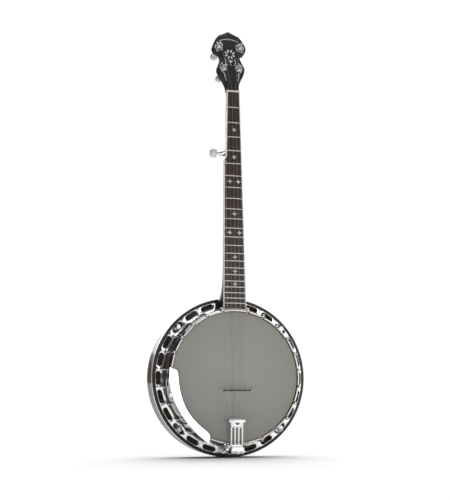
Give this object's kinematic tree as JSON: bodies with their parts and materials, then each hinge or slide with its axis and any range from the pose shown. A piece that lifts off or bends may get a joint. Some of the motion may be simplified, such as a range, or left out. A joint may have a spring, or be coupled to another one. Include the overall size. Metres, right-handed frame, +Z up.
{
  "type": "five-string resonator banjo",
  "caption": "Bluegrass banjo: fretted neck with geared pegs, hooked drum head on a wooden rim, slotted flange, wooden resonator, bridge, tailpiece and armrest.",
  "frame": {"origin": "on the pot's axis, in the plane of the resonator's flat back", "axes": "+Z up the neck from the pot to the headstock, +Y backwards out of the resonator's back, so the drum head faces -Y and the treble side is +X"},
  "size_m": [0.3446, 0.1345, 0.9621],
  "materials": {
    "chrome": "polished chrome plate, mirror bright, slightly blurred on the cast flange",
    "nickel": "dull nickel-plated steel",
    "bell_brass": "turned brass, satin",
    "stained_maple": "reddish-brown stained maple under gloss lacquer",
    "mahogany": "reddish-brown mahogany under gloss lacquer, pale binding",
    "dark_neck_wood": "near-black stained wood under gloss lacquer",
    "rosewood": "oiled dark rosewood with pale binding and pearl markers",
    "frosted_membrane": "frosted grey-white polyester film",
    "bridge_maple": "raw maple with a dark ebony top",
    "pearloid": "greenish-white pearloid",
    "string_steel": "bright plain steel"
  },
  "bodies": {
    "root": {"rim": "stained_maple", "tone_ring": "bell_brass", "drum_head": "frosted_membrane", "tension_hoop": "chrome", "flange": "chrome", "resonator": "mahogany", "neck": "dark_neck_wood", "fingerboard": "rosewood", "bridge": "bridge_maple", "tailpiece": "chrome", "coordinator_rod": "nickel", "armrest": "chrome", "fifth_peg_case": "chrome", "hook_01": "chrome", "hook_02": "chrome", "hook_03": "chrome", "hook_04": "chrome", "hook_05": "chrome", "hook_06": "chrome", "hook_07": "chrome", "hook_08": "chrome", "hook_09": "chrome", "hook_10": "chrome", "hook_11": "chrome", "hook_12": "chrome", "hook_13": "chrome", "hook_14": "chrome", "hook_15": "chrome", "hook_16": "chrome", "hook_17": "chrome", "hook_18": "chrome", "hook_19": "chrome", "hook_20": "chrome", "hook_21": "chrome", "hook_22": "chrome", "hook_23": "chrome", "hook_24": "chrome", "string_1": "string_steel", "string_2": "string_steel", "string_3": "string_steel", "string_4": "string_steel", "string_5": "string_steel", "tuner_case_1": "chrome", "tuner_case_2": "chrome", "tuner_case_3": "chrome", "tuner_case_4": "chrome"},
    "thumb_screw_1": {"thumb_screw_1": "chrome"},
    "thumb_screw_2": {"thumb_screw_2": "chrome"},
    "thumb_screw_3": {"thumb_screw_3": "chrome"},
    "thumb_screw_4": {"thumb_screw_4": "chrome"},
    "tuner_button_1": {"tuner_button_1": "pearloid"},
    "tuner_post_1": {"tuner_post_1": "chrome"},
    "tuner_button_2": {"tuner_button_2": "pearloid"},
    "tuner_post_2": {"tuner_post_2": "chrome"},
    "tuner_button_3": {"tuner_button_3": "pearloid"},
    "tuner_post_3": {"tuner_post_3": "chrome"},
    "tuner_button_4": {"tuner_button_4": "pearloid"},
    "tuner_post_4": {"tuner_post_4": "chrome"},
    "fifth_peg_button": {"fifth_peg_button": "pearloid"},
    "fifth_peg_post": {"fifth_peg_post": "chrome"}
  },
  "joints": [
    {"name": "thumb_screw_1_turn", "type": "hinge", "parent": "root", "child": "thumb_screw_1", "pos_m": [0.11726, -0.0675, 0.10783], "axis": [0, -1, 0], "continuous": true},
    {"name": "thumb_screw_2_turn", "type": "hinge", "parent": "root", "child": "thumb_screw_2", "pos_m": [0.1144, -0.0675, -0.11086], "axis": [0, -1, 0], "continuous": true},
    {"name": "thumb_screw_3_turn", "type": "hinge", "parent": "root", "child": "thumb_screw_3", "pos_m": [-0.1144, -0.0675, -0.11086], "axis": [0, -1, 0], "continuous": true},
    {"name": "thumb_screw_4_turn", "type": "hinge", "parent": "root", "child": "thumb_screw_4", "pos_m": [-0.11726, -0.0675, 0.10783], "axis": [0, -1, 0], "continuous": true},
    {"name": "tuner_button_1_turn", "type": "hinge", "parent": "root", "child": "tuner_button_1", "pos_m": [-0.0113, -0.0264, 0.68248], "axis": [0, -0.9659, 0.2588], "continuous": true},
    {"name": "tuner_post_1_turn", "type": "hinge", "parent": "root", "child": "tuner_post_1", "pos_m": [-0.0113, -0.06986, 0.69413], "axis": [0, -0.9659, 0.2588], "continuous": true},
    {"name": "tuner_button_2_turn", "type": "hinge", "parent": "root", "child": "tuner_button_2", "pos_m": [-0.0189, -0.01139, 0.7385], "axis": [0, -0.9659, 0.2588], "continuous": true},
    {"name": "tuner_post_2_turn", "type": "hinge", "parent": "root", "child": "tuner_post_2", "pos_m": [-0.0189, -0.05485, 0.75015], "axis": [0, -0.9659, 0.2588], "continuous": true},
    {"name": "tuner_button_3_turn", "type": "hinge", "parent": "root", "child": "tuner_button_3", "pos_m": [0.0303, -0.01139, 0.7385], "axis": [0, -0.9659, 0.2588], "continuous": true},
    {"name": "tuner_post_3_turn", "type": "hinge", "parent": "root", "child": "tuner_post_3", "pos_m": [0.0303, -0.05485, 0.75015], "axis": [0, -0.9659, 0.2588], "continuous": true},
    {"name": "tuner_button_4_turn", "type": "hinge", "parent": "root", "child": "tuner_button_4", "pos_m": [0.0227, -0.0264, 0.68248], "axis": [0, -0.9659, 0.2588], "continuous": true},
    {"name": "tuner_post_4_turn", "type": "hinge", "parent": "root", "child": "tuner_post_4", "pos_m": [0.0227, -0.06986, 0.69413], "axis": [0, -0.9659, 0.2588], "continuous": true},
    {"name": "fifth_peg_button_turn", "type": "hinge", "parent": "root", "child": "fifth_peg_button", "pos_m": [-0.02, -0.083, 0.495], "axis": [-1, 0, 0], "continuous": true},
    {"name": "fifth_peg_post_turn", "type": "hinge", "parent": "root", "child": "fifth_peg_post", "pos_m": [-0.02, -0.083, 0.495], "axis": [0, -1, 0], "continuous": true}
  ],
  "couplings": [
    {"joint": "tuner_post_1_turn", "follows": "tuner_button_1_turn", "ratio": 0.25},
    {"joint": "tuner_post_2_turn", "follows": "tuner_button_2_turn", "ratio": 0.25},
    {"joint": "tuner_post_3_turn", "follows": "tuner_button_3_turn", "ratio": 0.25},
    {"joint": "tuner_post_4_turn", "follows": "tuner_button_4_turn", "ratio": 0.25},
    {"joint": "fifth_peg_post_turn", "follows": "fifth_peg_button_turn", "ratio": 0.071429}
  ]
}
